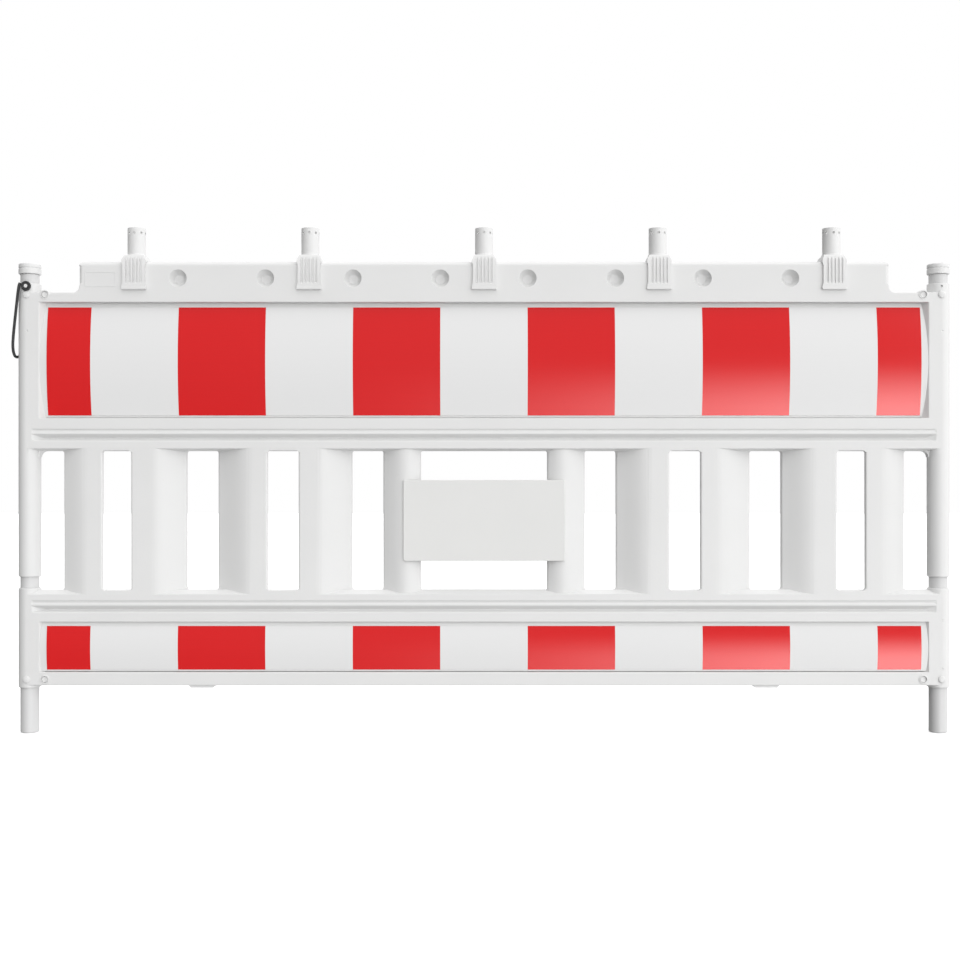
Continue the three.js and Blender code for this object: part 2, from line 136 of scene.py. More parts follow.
class BarricadeColours(bpy.types.PropertyGroup):
    """Colours of the barricade's plastics, sheeting and rubber."""

    moulding: colour("Moulding", "White plastic of the moulded frame", (0.71, 0.71, 0.707))
    tube: colour("Tubes", "Extruded plastic of the foot tubes", (0.64, 0.64, 0.64))
    sheeting_white: colour("White sheeting", "White of the reflective sheeting", (0.735, 0.735, 0.735))
    sheeting_red: colour("Red sheeting", "Red of the reflective sheeting", (0.71, 0.006, 0.008))
    plate: colour("Plate", "Grey-white of the lettering plates", (0.705, 0.705, 0.695))
    rubber: colour("Rubber", "Black of the loop", (0.035, 0.036, 0.037))


# ---------------------------------------------------------------- modelling helpers

PLACES = {
    "X": lambda a, b, along: (along, a, b),
    "Y": lambda a, b, along: (a, along, b),
    "Z": lambda a, b, along: (a, b, along),
}


def mm(x, y, z):
    return Vector((x, y, z)) * MM


def work_on(*pieces):
    """Leaves only these pieces selected, the first one active."""
    bpy.ops.object.select_all(action="DESELECT")
    for piece in pieces:
        piece.select_set(True)
    bpy.context.view_layer.objects.active = pieces[0]


def trace(name, points):
    """Draws a line from point to point, and stays in edit mode."""
    bpy.ops.object.select_all(action="DESELECT")
    bpy.ops.mesh.primitive_plane_add(size=MM, location=(0, 0, 0))
    piece = bpy.context.active_object
    piece.name = name
    bpy.ops.object.mode_set(mode="EDIT")
    bpy.ops.mesh.select_mode(type="VERT")
    bpy.ops.mesh.merge(type="CENTER")
    bpy.ops.transform.translate(value=mm(*points[0]))
    for start, end in zip(points, points[1:]):
        step = mm(*end) - mm(*start)
        bpy.ops.mesh.extrude_vertices_move(TRANSFORM_OT_translate={"value": step})
    bpy.ops.mesh.select_all(action="SELECT")
    return piece


def close_up():
    """Turns all faces outwards and leaves edit mode."""
    bpy.ops.mesh.select_all(action="SELECT")
    bpy.ops.mesh.normals_make_consistent(inside=False)
    bpy.ops.object.mode_set(mode="OBJECT")


def prism(name, axis, outline, low, high, ramp=None):
    """An outline run along an axis, and then on by a ramp, which may lean."""
    place = PLACES[axis]
    piece = trace(name, [place(a, b, low) for a, b in outline])
    bpy.ops.mesh.edge_face_add()
    runs = [place(0, 0, high - low)] + ([ramp] if ramp else [])
    for run in runs:
        bpy.ops.mesh.extrude_region_move(TRANSFORM_OT_translate={"value": mm(*run)})
    close_up()
    return piece


def turned(name, axis, profile, centre, steps=64):
    """A profile of (radius, distance along the axis) spun round that axis."""
    place = PLACES[axis]
    across, up = centre
    points = [place(across + r, up, h) for r, h in profile]
    piece = trace(name, points)
    spin_axis = Vector(place(0, 0, 1))
    bpy.ops.mesh.spin(steps=steps, angle=math.tau, center=mm(*place(across, up, 0)), axis=spin_axis)
    bpy.ops.mesh.select_all(action="SELECT")
    bpy.ops.mesh.remove_doubles(threshold=0.01 * MM)
    close_up()
    return piece


def softened(corners, steps=4):
    """An outline whose corners may have a third number, the radius that rounds them."""
    outline = []
    for i, corner in enumerate(corners):
        here = Vector(corner[:2])
        if len(corner) < 3:
            outline.append(tuple(here))
            continue
        back = (Vector(corners[i - 1][:2]) - here).normalized()
        on = (Vector(corners[(i + 1) % len(corners)][:2]) - here).normalized()
        half = back.angle(on) / 2
        centre = here + (back + on).normalized() * corner[2] / math.sin(half)
        start = here + back * corner[2] / math.tan(half) - centre
        end = here + on * corner[2] / math.tan(half) - centre
        for k in range(steps + 1):
            spoke = start.lerp(end, k / steps).normalized() * corner[2]
            outline.append(tuple(centre + spoke))
    return outline


def round_edges(piece, radius, test, segments=4, clamp=True):
    """Rounds the edges both of whose ends pass a test of their place."""
    work_on(piece)
    bpy.ops.object.mode_set(mode="EDIT")
    bpy.ops.mesh.select_mode(type="EDGE")
    bpy.ops.mesh.select_all(action="DESELECT")
    body = bmesh.from_edit_mesh(piece.data)
    for edge in body.edges:
        ends = [vertex.co / MM for vertex in edge.verts]
        sharp = edge.is_manifold and edge.calc_face_angle() > math.radians(40)
        edge.select_set(sharp and all(test(end) for end in ends))
    bmesh.update_edit_mesh(piece.data)
    bpy.ops.mesh.bevel(
        offset=radius * MM, segments=segments, affect="EDGES", clamp_overlap=clamp)
    bpy.ops.object.mode_set(mode="OBJECT")


def copied(piece, name, shift=(0, 0, 0), flip=(1, 1, 1)):
    """A copy with its own mesh, mirrored or moved, its place in its mesh."""
    work_on(piece)
    bpy.ops.object.duplicate(linked=False)
    copy = bpy.context.active_object
    copy.name = name
    copy.scale = flip
    bpy.ops.object.transform_apply(location=False, rotation=False, scale=True)
    if min(flip) < 0:
        bpy.ops.object.mode_set(mode="EDIT")
        close_up()
    bpy.ops.transform.translate(value=mm(*shift))
    bpy.ops.object.transform_apply(location=True, rotation=False, scale=False)
    return copy


def merged(pieces):
    """Several pieces made one mesh."""
    work_on(*pieces)
    if len(pieces) > 1:
        bpy.ops.object.join()
    return bpy.context.active_object


def combine(piece, tools, operation):
    """Welds solids to a piece, or cuts them out of it, and clears them away."""
    for tool in tools:
        work_on(piece)
        modifier = piece.modifiers.new("combine", "BOOLEAN")
        modifier.operation = operation
        modifier.solver = "EXACT"
        modifier.object = tool
        bpy.ops.object.modifier_apply(modifier=modifier.name)
        bpy.data.objects.remove(tool)
    return piece


def smooth(piece, degrees=38):
    """Shades a piece smooth except over its sharp edges, with large faces kept flat."""
    work_on(piece)
    bpy.ops.object.shade_smooth_by_angle(angle=math.radians(degrees))
    modifier = piece.modifiers.new("even", "WEIGHTED_NORMAL")
    modifier.keep_sharp = True
    bpy.ops.object.modifier_apply(modifier=modifier.name)


def hand_over(piece, name, material, body, nodes):
    """Names a finished piece, and gives it its material, body and the nodes it stands for."""
    piece.name = name
    piece.data.name = name
    piece.data.materials.clear()
    piece.data.materials.append(material)
    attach(piece, body)
    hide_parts(*nodes)


# ---------------------------------------------------------------- material helpers


class Value:
    """A socket that can stand in a plain sum."""

    def __init__(self, tree, socket):
        self.tree = tree
        self.socket = socket

    def worked(self, operation, first, second):
        node = self.tree.nodes.new("ShaderNodeMath")
        node.operation = operation
        for entry, term in zip(node.inputs, (first, second)):
            if isinstance(term, Value):
                self.tree.links.new(term.socket, entry)
            else:
                entry.default_value = term
        return Value(self.tree, node.outputs[0])

    def __add__(self, other):
        return self.worked("ADD", self, other)

    def __sub__(self, other):
        return self.worked("SUBTRACT", self, other)

    def __rsub__(self, other):
        return self.worked("SUBTRACT", other, self)

    def __mul__(self, other):
        return self.worked("MULTIPLY", self, other)

    def __truediv__(self, other):
        return self.worked("DIVIDE", self, other)

    def __pow__(self, other):
        return self.worked("POWER", self, other)

    def __gt__(self, other):
        return self.worked("GREATER_THAN", self, other)

    __radd__ = __add__
    __rmul__ = __mul__


class Nodes:
    """The nodes of one material or world."""

    def __init__(self, tree):
        self.tree = tree

    def make(self, kind, settings=None, feeds=None):
        """A node of a type, with its settings, and its sockets fed by numbers or links."""
        node = self.tree.nodes.new("ShaderNode" + kind)
        for setting, choice in (settings or {}).items():
            if setting == "stops":
                for stop, (place, shade) in zip(node.color_ramp.elements, choice):
                    stop.position = place
                    stop.color = shade
            else:
                setattr(node, setting, choice)
        for socket, value in (feeds or {}).items():
            self.feed(node.inputs[socket], value)
        return node

    def feed(self, socket, value):
        if isinstance(value, Value):
            value = value.socket
        if isinstance(value, bpy.types.NodeSocket):
            self.tree.links.new(value, socket)
        else:
            socket.default_value = value

    def value(self, kind, output, settings=None, feeds=None):
        return Value(self.tree, self.make(kind, settings, feeds).outputs[output])

    def stretched(self, scale):
        """Object coordinates, finer or coarser along each axis."""
        place = self.make("TexCoord").outputs["Object"]
        return self.make("Mapping", None, {"Vector": place, "Scale": scale}).outputs[0]

    def grain(self, scale, detail=2.0, stretch=(1, 1, 1)):
        """Noise from 0 to 1 on the object's own coordinates."""
        feeds = {"Vector": self.stretched(stretch), "Scale": scale, "Detail": detail}
        return self.value("TexNoise", "Fac", None, feeds)

    def blended(self, amount, first, second):
        """Two colours mixed."""
        node = self.make("Mix", {"data_type": "RGBA"}, {0: amount, 6: first, 7: second})
        return node.outputs[2]

    def clipped(self, value, low, high):
        """A value's range from low to high, made 0 to 1 and no more."""
        feeds = {"Value": value, "From Min": low, "From Max": high}
        return self.value("MapRange", 0, {"clamp": True}, feeds)


class Finish(Nodes):
    """A material whose nodes feed one Principled shader."""

    def __init__(self, name, constants=None):
        self.material = bpy.data.materials.new(name)
        self.material.use_nodes = True
        super().__init__(self.material.node_tree)
        self.surface = self.tree.nodes["Principled BSDF"]
        for socket, value in (constants or {}).items():
            self.surface.inputs[socket].default_value = value

    def relief(self, height, strength, distance):
        feeds = {"Strength": strength, "Distance": distance * MM, "Height": height}
        bump = self.make("Bump", None, feeds)
        self.feed(self.surface.inputs["Normal"], bump.outputs[0])


def shade(base, factor):
    return (*(channel * factor for channel in base), 1)


def plastic(name, base, rough, grain_scale, stretch, relief):
    """White plastic: faint cloudy tone, fine skin, a few scuffs, and dust in the grain."""
    finish = Finish(name, {"IOR": 1.5, "Specular IOR Level": 0.35})
    cloud = finish.grain(9.0, 3.0, stretch)
    skin = finish.grain(grain_scale, 3.0, stretch)
    scuff_feeds = {"Vector": finish.stretched((1, 1, 6)), "Scale": 38.0, "Detail": 6.0}
    scuffs = finish.clipped(finish.value("TexNoise", "Fac", None, scuff_feeds), 0.66, 0.74)
    specks = finish.clipped(finish.grain(420.0, 1.0), 0.76, 0.8)
    tone = finish.blended(cloud, shade(base, 0.975), shade(base, 1.02))
    worn = finish.blended(scuffs * 0.10, tone, shade((0.62, 0.61, 0.59), 1))
    dusty = finish.blended(specks * 0.22, worn, shade((0.45, 0.44, 0.42), 1))
    finish.feed(finish.surface.inputs["Base Color"], dusty)
    finish.feed(finish.surface.inputs["Roughness"], cloud * 0.08 + skin * 0.06 + scuffs * 0.12 + rough)
    finish.relief(skin + scuffs * 0.3, 0.35, relief)
    return finish.material


def sheeting(name, colours, block):
    """Reflective sheeting: satin white film, beaded underneath, with glossy red ink blocks."""
    finish = Finish(name, {
        "IOR": 1.5, "Specular IOR Level": 0.12, "Coat IOR": 1.5, "Coat Roughness": 0.2})
    place = finish.make("TexCoord").outputs["Object"]
    across = finish.value("SeparateXYZ", "X", None, {"Vector": place})
    phase = finish.value("Math", 0, {"operation": "FRACT"}, {0: (across + block / 2) / (2 * block)})
    red = finish.clipped(phase, 0.4985, 0.5005) * finish.clipped(1 - phase, 0.0, 0.001)
    beads_feeds = {"Vector": place, "Scale": 620.0}
    beads = finish.value("TexVoronoi", "Distance", None, beads_feeds)
    drawn = finish.grain(60.0, 3.0, (0.06, 1, 6))
    lift = beads * 0.06 + drawn * 0.05
    white = finish.blended(lift, shade(colours.sheeting_white, 1.0), shade(colours.sheeting_white, 0.8))
    ink = finish.blended(lift * 4, shade(colours.sheeting_red, 1.0), shade(colours.sheeting_red, 0.8))
    finish.feed(finish.surface.inputs["Base Color"], finish.blended(red, white, ink))
    finish.feed(finish.surface.inputs["Roughness"], drawn * 0.1 + 0.3)
    finish.feed(finish.surface.inputs["Coat Weight"], red)
    finish.relief(drawn * 0.7 + beads * 0.3, 0.12, 0.05)
    return finish.material


def rubber(name, base):
    """Black rubber with a dull, finely pitted skin and paler rubbed spots."""
    finish = Finish(name, {"IOR": 1.5, "Specular IOR Level": 0.4})
    pits = finish.grain(900.0, 4.0)
    rubbed = finish.clipped(finish.grain(70.0, 3.0), 0.5, 0.75)
    tone = finish.blended(rubbed, shade(base, 0.85), shade(base, 1.7))
    finish.feed(finish.surface.inputs["Base Color"], tone)
    finish.feed(finish.surface.inputs["Roughness"], rubbed * 0.1 + pits * 0.12 + 0.5)
    finish.relief(pits, 0.5, 0.12)
    return finish.material


def material(kind):
    """One of the barricade's materials, mixed when first asked for."""
    if kind in bpy.data.materials:
        return bpy.data.materials[kind]
    sizes = bpy.context.scene.barricade_sizes
    colours = bpy.context.scene.barricade_colours
    if kind == "moulded_plastic":
        return plastic(kind, colours.moulding, 0.36, 260.0, (1, 1, 1), 0.25)
    if kind == "board_plastic":
        return plastic(kind, colours.moulding, 0.3, 300.0, (0.4, 1, 1), 0.12)
    if kind == "tube_plastic":
        return plastic(kind, colours.tube, 0.3, 240.0, (1, 1, 0.05), 0.15)
    if kind == "plate_plastic":
        return plastic(kind, colours.plate, 0.42, 500.0, (1, 1, 1), 0.15)
    if kind == "button_plastic":
        return plastic(kind, colours.moulding, 0.26, 420.0, (1, 1, 1), 0.08)
    if kind == "reflective_sheeting":
        return sheeting(kind, colours, sizes.block_length)
    return rubber(kind, colours.rubber)


# ---------------------------------------------------------------- the rubber loop

# out of the front eye, down beside the post, under it and up to the back eye, in metres
LOOP_ROUTE = [
    (-1.0589, -0.0288, 1.0302), (-1.0609, -0.0288, 1.0255), (-1.0624, -0.0287, 1.0190),
    (-1.0636, -0.0285, 1.0110), (-1.0650, -0.0282, 1.0000), (-1.0686, -0.0274, 0.9700),
    (-1.0728, -0.0262, 0.9350), (-1.0764, -0.0238, 0.9050), (-1.0786, -0.0195, 0.8860),
    (-1.0792, -0.0115, 0.8710), (-1.0782, -0.0015, 0.8640), (-1.0754, 0.0090, 0.8650),
    (-1.0708, 0.0186, 0.8730), (-1.0648, 0.0256, 0.8870), (-1.0608, 0.0288, 0.9060),
    (-1.0596, 0.0292, 0.9350), (-1.0602, 0.0290, 0.9700), (-1.0614, 0.0288, 1.0000),
    (-1.0622, 0.0288, 1.0110), (-1.0620, 0.0288, 1.0190), (-1.0609, 0.0288, 1.0255),
    (-1.0589, 0.0288, 1.0302),
]
LOOP_Z = 1023.0


class BARRICADE_OT_hanging_loop(bpy.types.Operator):
    """Hangs the rubber loop on its two eyes beside the left post"""

    bl_idname = "barricade.hanging_loop"
    bl_label = "Hanging Loop"

    def execute(self, context):
        thickness = context.scene.barricade_sizes.loop_thickness
        black = material("loop_rubber")
        route = bpy.data.curves.new("rubber_loop", "CURVE")
        route.dimensions = "3D"
        route.bevel_depth = thickness / 2
        route.bevel_resolution = 6
        route.resolution_u = 8
        line = route.splines.new("BEZIER")
        line.bezier_points.add(len(LOOP_ROUTE) - 1)
        for point, place in zip(line.bezier_points, LOOP_ROUTE):
            point.co = place
            point.handle_left_type = point.handle_right_type = "AUTO"
        loop = bpy.data.objects.new("rubber_loop", route)
        context.scene.collection.objects.link(loop)
        route.materials.append(black)
        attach(loop, "frame")
        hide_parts("hanging_loop")
        for name, facing in FACES:
            seat = facing * (SLEEVE_R + 0.3)
            inner, outer, far = 4.9, 11.2, seat + facing * 6.4
            profile = softened([
                (inner, seat, 1.5), (outer, seat, 1.5), (outer, far, 2.4), (inner, far, 2.0)])
            eye = turned(f"loop_eye_{name}_ring", "Y", [*profile, profile[0]], (-POST_X, LOOP_Z), 48)
            smooth(eye)
            hand_over(eye, eye.name, black, "frame", [f"loop_eye_{name}"])
        route_length(LOOP_ROUTE)
        return {"FINISHED"}


def route_length(points):
    steps = zip(points, points[1:])
    return sum((Vector(end) - Vector(start)).length for start, end in steps)


# ---------------------------------------------------------------- the moulded frame


# rings above and below whatever is cut into a sleeve, so that its long faces stay even
SLEEVE_RINGS = (116, 132, 143, 154, 253, 265, 640, 715, 915, 927, 994, 1013)


def sleeve_solid(z0, z1):
    rings = [(SLEEVE_R, z) for z in SLEEVE_RINGS if z0 < z < z1]
    profile = [(0, z0), (SLEEVE_R, z0, 2), *rings, (SLEEVE_R, z1, 2), (0, z1)]
    return turned("sleeve", "Z", softened(profile), (-POST_X, 0), 96)


def panel(name, section, board, edge):
    """A stretch of the frame from post to post, with the recess of a board through it."""
    solid = prism(name, "X", softened(section), -POST_X, POST_X)
    plan = []
    for side in (1, -1):
        wall = [(RECESS_END + 1.3, -FACE - 1.5), (RECESS_DEEP, -RECESS_CORE),
                (RECESS_DEEP, RECESS_CORE), (RECESS_END + 1.3, FACE + 1.5)]
        plan += [(side * x, side * y) for x, y in wall]
    combine(solid, [prism("recess", "Z", plan, *BOARDS[board])], "DIFFERENCE")
    low, high = BOARDS[board]

    def on_face(end):
        return abs(abs(end.y) - FACE) < 0.01 and abs(end.x) < RECESS_END + 1

    round_edges(solid, edge["bottom"], lambda end: on_face(end) and abs(end.z - low) < 0.01)
    round_edges(solid, edge["top"], lambda end: on_face(end) and abs(end.z - high) < 0.01)
    round_edges(
        solid, edge["ends"],
        lambda end: on_face(end) and abs(end.x) > RECESS_END - 2 and low - 9 < end.z < high + 9)
    return solid


def web_recess(x):
    """How far the wavy web's front lies behind the face, at a distance from the middle."""
    d = abs(x)
    deepest = 2 * FACE - WEB
    if d < 268:
        crest = 3
        return crest + (deepest - crest) * 0.5 * (1 + math.cos(math.pi * (268 - d) / 88))
    for valley in (268, 645, 1022):
        if abs(d - valley) <= 116:
            return deepest * 0.5 * (1 + math.cos(math.pi * (d - valley) / 116))
    return 0


def web_stations():
    """Where the wave is drawn: close together, but clear of the windows' upright edges."""
    clear = [(CENTRE_WINDOW - 7, CENTRE_WINDOW + 5.5)]
    for outer, inner in reversed(WINDOWS):
        clear += [(inner - 5.5, inner + 7), (outer - 7, outer + 5.5)]
    marks = [0.0] + [mark for pair in clear for mark in pair]
    stations = []
    for start, end in zip(marks[::2], marks[1::2]):
        count = max(1, round((end - start) / 7))
        stations += [start + (end - start) * k / count for k in range(count + 1)]
    stations = [x for x in stations if x < 1014] + [1014]
    return [-x for x in reversed(stations[1:])] + stations


def wavy_web():
    """The corrugated sheet between the mid rails, with its eleven windows."""
    front = [(x, -FACE + 0.05 + web_recess(x)) for x in web_stations()]
    back = [(x, y + WEB - 0.1) for x, y in reversed(front)]
    web = prism("web", "Z", front + back, LOWER_SILL - 16, UPPER_SILL + 16)
    spans = [(-CENTRE_WINDOW, CENTRE_WINDOW)]
    for outer, inner in WINDOWS:
        spans += [(inner, outer), (-outer, -inner)]
    corner, inset = 6, 8
    low, high = LOWER_SILL - 1.5, UPPER_SILL + 1.5
    cutters = []
    for x0, x1 in spans:
        under = over = ()
        if x0 == -x1:  # the middle window is wide enough for the rails' own slopes to show
            under = ((x0 + inset, low), (x0 + inset, low - 12), (x1 - inset, low - 12), (x1 - inset, low))
            over = ((x1 - inset, high), (x1 - inset, high + 8), (x0 + inset, high + 8), (x0 + inset, high))
        outline = [(x0, low, corner), *under, (x1, low, corner), (x1, high, corner), *over,
                   (x0, high, corner)]
        cutters.append(prism("window", "Y", softened(outline, 3), -FACE - 10, FACE + 10))
    return combine(web, [merged(cutters)], "DIFFERENCE")


def flange(edge):
    """The raised top flange, its rounded ends filleted to the shoulders."""
    bpy.ops.object.select_all(action="DESELECT")
    low = SHOULDER - 14
    bpy.ops.mesh.primitive_cube_add(
        size=1, location=mm(0, 0, (low + FLANGE_TOP) / 2),
        scale=mm(2 * FLANGE_X, 2 * FACE, FLANGE_TOP - low))
    block = bpy.context.active_object
    bpy.ops.object.transform_apply(location=True, rotation=False, scale=True)
    round_edges(block, 11, lambda end: end.z > FLANGE_TOP - 0.1, 5)
    round_edges(
        block, 9,
        lambda end: abs(end.x) > FLANGE_X - 9.5 and abs(end.y) > FACE - 0.1, 5)
    fillet = 14
    centre = (FLANGE_X + fillet, SHOULDER + fillet)
    foot = [(FLANGE_X - 20, SHOULDER - 5), (centre[0] + 4, SHOULDER - 5), (centre[0] + 4, SHOULDER)]
    for k in range(7):
        turn = math.pi / 2 * k / 6
        foot.append((centre[0] - fillet * math.sin(turn), centre[1] - fillet * math.cos(turn)))
    foot += [(FLANGE_X - 1.5, centre[1] + 5), (FLANGE_X - 5, centre[1] + 8.5),
             (FLANGE_X - 9, centre[1] + 10), (FLANGE_X - 20, centre[1] + 10)]
    wedge = prism("wedge", "Y", foot, -FACE, FACE)
    round_edges(wedge, edge, lambda end: end.x > FLANGE_X - 12 and end.z > SHOULDER - 1, 3)
    other = copied(wedge, "wedge", flip=(-1, 1, 1))
    return combine(block, [wedge, other], "UNION")


def long_grooves():
    """Cutters for the stepped groove along both faces of each mid rail."""
    cutters = []
    steps = [(23.5, -2), (21.5, 0), (19.5, 0.4), (17.5, 2.6), (14, 2.6), (11.5, 0.6), (10, 0),
             (8, 0), (6.5, 0.8), (3, 6), (0.5, 9.6), (-0.5, 10.2), (-2, 10.2), (-3, 9.6),
             (-5, 5.6), (-7, 1.4), (-8, 0.3), (-9.5, 0), (-10.5, -2)]
    for crease in (285.0, 677.5):
        outline = [(-FACE + depth, crease + rise) for rise, depth in steps]
        run = 1037.0
        cutter = prism("groove", "X", outline, -run, run)
        for side in (-1, 1):
            work_on(cutter)
            bpy.ops.object.mode_set(mode="EDIT")
            bpy.ops.mesh.select_all(action="SELECT")
            slope = Vector((side * 10.2, 23.0, 0)).normalized()
            bpy.ops.mesh.bisect(
                plane_co=mm(side * 1012, -FACE + 10.2, 0), plane_no=slope,
                use_fill=True, clear_outer=True)
            close_up()
        cutters += [cutter, copied(cutter, "groove", flip=(1, -1, 1))]
    return cutters


def dimples():
    """Cutters for the row of dished dimples along the flange."""
    floor = -FACE + 19
    dish = softened([
        (0, floor), (11, floor, 4), (20.2, -FACE, 1.5), (24, -FACE - 1), (0, -FACE - 1)], 5)
    first = turned("dimple", "Y", dish, (-700, 1041), 48)
    cutters = [first] + [copied(first, "dimple", shift=(200 * k, 0, 0)) for k in range(1, 8)]
    return cutters + [copied(cutter, "dimple", flip=(1, -1, 1)) for cutter in cutters]


def corner_parts():
    """The round bosses at the frame's four corners, and the seats cut in them."""
    rim = FACE + 1.5
    boss = softened([(0, -rim), (10.8, -rim, 1.4), (10.8, rim, 1.4), (0, rim)])
    seat = [(0, -28), (8.2, -28), (7.2, -22), (5.3, -22), (5.3, 22), (7.2, 22), (8.2, 28), (0, 28)]
    bosses, seats = [], []
    for x, z in CORNERS:
        bosses.append(turned("boss", "Y", boss, (x, z), 48))
        seats.append(turned("seat", "Y", seat, (x, z), 48))
    return bosses, seats


def post_holes():
    """Cutters for the posts' bores, plug holes, loop screw holes and small mould marks."""
    bore_r = SLEEVE_R - 3.6
    bore = [(0, 90)]
    for z0, z1 in SLEEVES:
        bore += [(bore_r + 1.2, z0 - 1), (bore_r + 1.2, z0), (bore_r, z0 + 1.2),
                 (bore_r, z1 - 1.2), (bore_r + 1.2, z1), (bore_r + 1.2, z1 + 1)]
    bore.append((0, SLEEVES[1][1] + 1))
    bores, small, marks = [], [], []
    for side in (-1, 1):
        x = side * POST_X
        bores.append(turned("bore", "Z", bore, (x, 0), 96))
        holes = [(124, 4.3), (1004, 4.3), (LOOP_Z, 2.4 if side < 0 else 2.7)]
        for z, radius in holes:
            pin = [(0, -30), (radius, -30), (radius, 30), (0, 30)]
            small.append(turned("hole", "Y", pin, (x, z), 24))
        for z in (148.5, 259, 921):
            for facing in (-1, 1):
                mark = [(0, facing * (FACE - 1.4)), (1.6, facing * (FACE - 1.3)),
                        (2.9, facing * FACE), (3.5, facing * (FACE + 1)), (0, facing * (FACE + 1))]
                marks.append(turned("mark", "Y", mark, (x + 1.5, z), 20))
    return bores, small, marks


def name_field():
    """The thin raised rim of the blank field at the flange's left end."""
    x0, x1, z0, z1 = -912, -842, 1022, 1056
    rim = prism("field", "Y", [(x0, z0), (x1, z0), (x1, z1), (x0, z1)], -FACE - 0.6, -FACE + 1)
    hollow = prism(
        "hollow", "Y", [(x0 + 1.6, z0 + 1.6), (x1 - 1.6, z0 + 1.6),
                        (x1 - 1.6, z1 - 1.6), (x0 + 1.6, z1 - 1.6)], -FACE - 2, -FACE + 2)
    return combine(rim, [hollow], "DIFFERENCE")


class BARRICADE_OT_moulded_frame(bpy.types.Operator):
    """Moulds the white frame: rails, wavy uprights, corner bosses and post sleeves"""

    bl_idname = "barricade.moulded_frame"
    bl_label = "Moulded Frame"

    def execute(self, context):
        sizes = context.scene.barricade_sizes
        edge = sizes.edge_rounding / MM
        ledge = WEB / 2
        upper_section = [
            (-ledge, UPPER_SILL, 3), (ledge, UPPER_SILL, 3), (FACE, UPPER_SILL + 5.5, edge),
            (FACE, SHOULDER, edge), (-FACE, SHOULDER, edge), (-FACE, UPPER_SILL + 5.5, edge)]
        lower_section = [
            (-FACE, BASE, edge), (FACE, BASE, edge), (FACE, LOWER_SILL - 9.3, edge),
            (ledge, LOWER_SILL, 4), (-ledge, LOWER_SILL, 4), (-FACE, LOWER_SILL - 9.3, edge)]
        upper = panel("upper_panel", upper_section, "upper", {"bottom": 7, "top": 2, "ends": 2.5})
        lower = panel("lower_panel", lower_section, "lower", {"bottom": 2, "top": 3, "ends": 2})
        moulding = combine(upper, [lower, wavy_web()], "UNION")
        round_edges(
            moulding, sizes.window_rounding / MM,
            lambda end: LOWER_SILL + 1 < end.z < UPPER_SILL - 1 and abs(end.x) < 1000,
            clamp=False)
        solids = [flange(edge)]
        for z0, z1 in SLEEVES:
            sleeve = sleeve_solid(z0, z1)
            solids += [sleeve, copied(sleeve, "sleeve", flip=(-1, 1, 1))]
        for side in (-1, 1):
            pad = softened([(side * 645.5 - 30, BASE + 1), (side * 645.5 + 30, BASE + 1),
                            (side * 645.5 + 26, BASE - 5.5, 2), (side * 645.5 - 26, BASE - 5.5, 2)])
            solids.append(prism("pad", "Y", pad, -FACE + 3, FACE - 3))
            gusset = [(-1026, UPPER_SILL + 3), (-1007, UPPER_SILL + 3), (-1007, UPPER_SILL)]
            for k in range(7):
                turn = math.pi / 2 * k / 6
                gusset.append((-1007 - 14 * math.sin(turn), UPPER_SILL - 14 + 14 * math.cos(turn)))
            gusset.append((-1026, UPPER_SILL - 14))
            gusset = [(-side * x, z) for x, z in gusset]
            solids.append(prism("gusset", "Y", gusset, -9, 9))
        bosses, seats = corner_parts()
        solids += bosses
        solids.append(name_field())
        combine(moulding, solids, "UNION")
        bores, small, marks = post_holes()
        for cutters in (long_grooves(), dimples(), seats, bores, small, marks):
            combine(moulding, [merged(cutters)], "DIFFERENCE")
        smooth(moulding, 28)
        nodes = ["top_rail", "upper_mid_rail", "lower_mid_rail", "bottom_rail"]
        nodes += [f"upright_{i}" for i in range(1, 11)]
        nodes += [f"{level}_sleeve_{side}" for level in BOARDS for side, _ in SIDES]
        hand_over(
            moulding, "moulded_frame", material("moulded_plastic"), "frame", nodes)
        return {"FINISHED"}


# ---------------------------------------------------------------- boards, sheeting and plates


def crown(level, z0, z1, lift, steps=28):
    """A board's crowned front as points (y, z), lifted off it by a little."""
    middle, height, bulge = CROWNS[level]
    radius = (height * height / 4 + bulge * bulge) / (2 * bulge)
    points = []
    for i in range(steps + 1):
        z = z0 + (z1 - z0) * i / steps
        drop = radius - math.sqrt(radius * radius - (z - middle) ** 2)
        points.append((-BOARD_FRONT + drop - lift, z))
    return points


class BARRICADE_OT_boards(bpy.types.Operator):
    """Sets the two crowned boards into the frame's recesses"""

    bl_idname = "barricade.boards"
    bl_label = "Boards"

    def execute(self, context):
        for level, (low, high) in BOARDS.items():
            front = crown(level, low + 1.4, high - 0.4, 0)
            back = [(-y, z) for y, z in reversed(front)]
            board = prism(f"{level}_board_panel", "X", front + back, -RECESS_END - 4, RECESS_END + 4)
            gap = 0.4
            wedge = [(RECESS_END + 1.3 - gap, -FACE - 1.5), (RECESS_DEEP - gap, -RECESS_CORE),
                     (RECESS_DEEP - gap, RECESS_CORE), (RECESS_END + 1.3 - gap, FACE + 1.5),
                     (RECESS_END + 20, FACE + 1.5), (RECESS_END + 20, -FACE - 1.5)]
            right = prism("end", "Z", wedge, low - 5, high + 5)
            combine(board, [right, copied(right, "end", flip=(-1, 1, 1))][::-1], "DIFFERENCE")
            smooth(board, 25)
            hand_over(board, board.name, material("board_plastic"), "frame",
                      [f"{level}_board"])
        return {"FINISHED"}


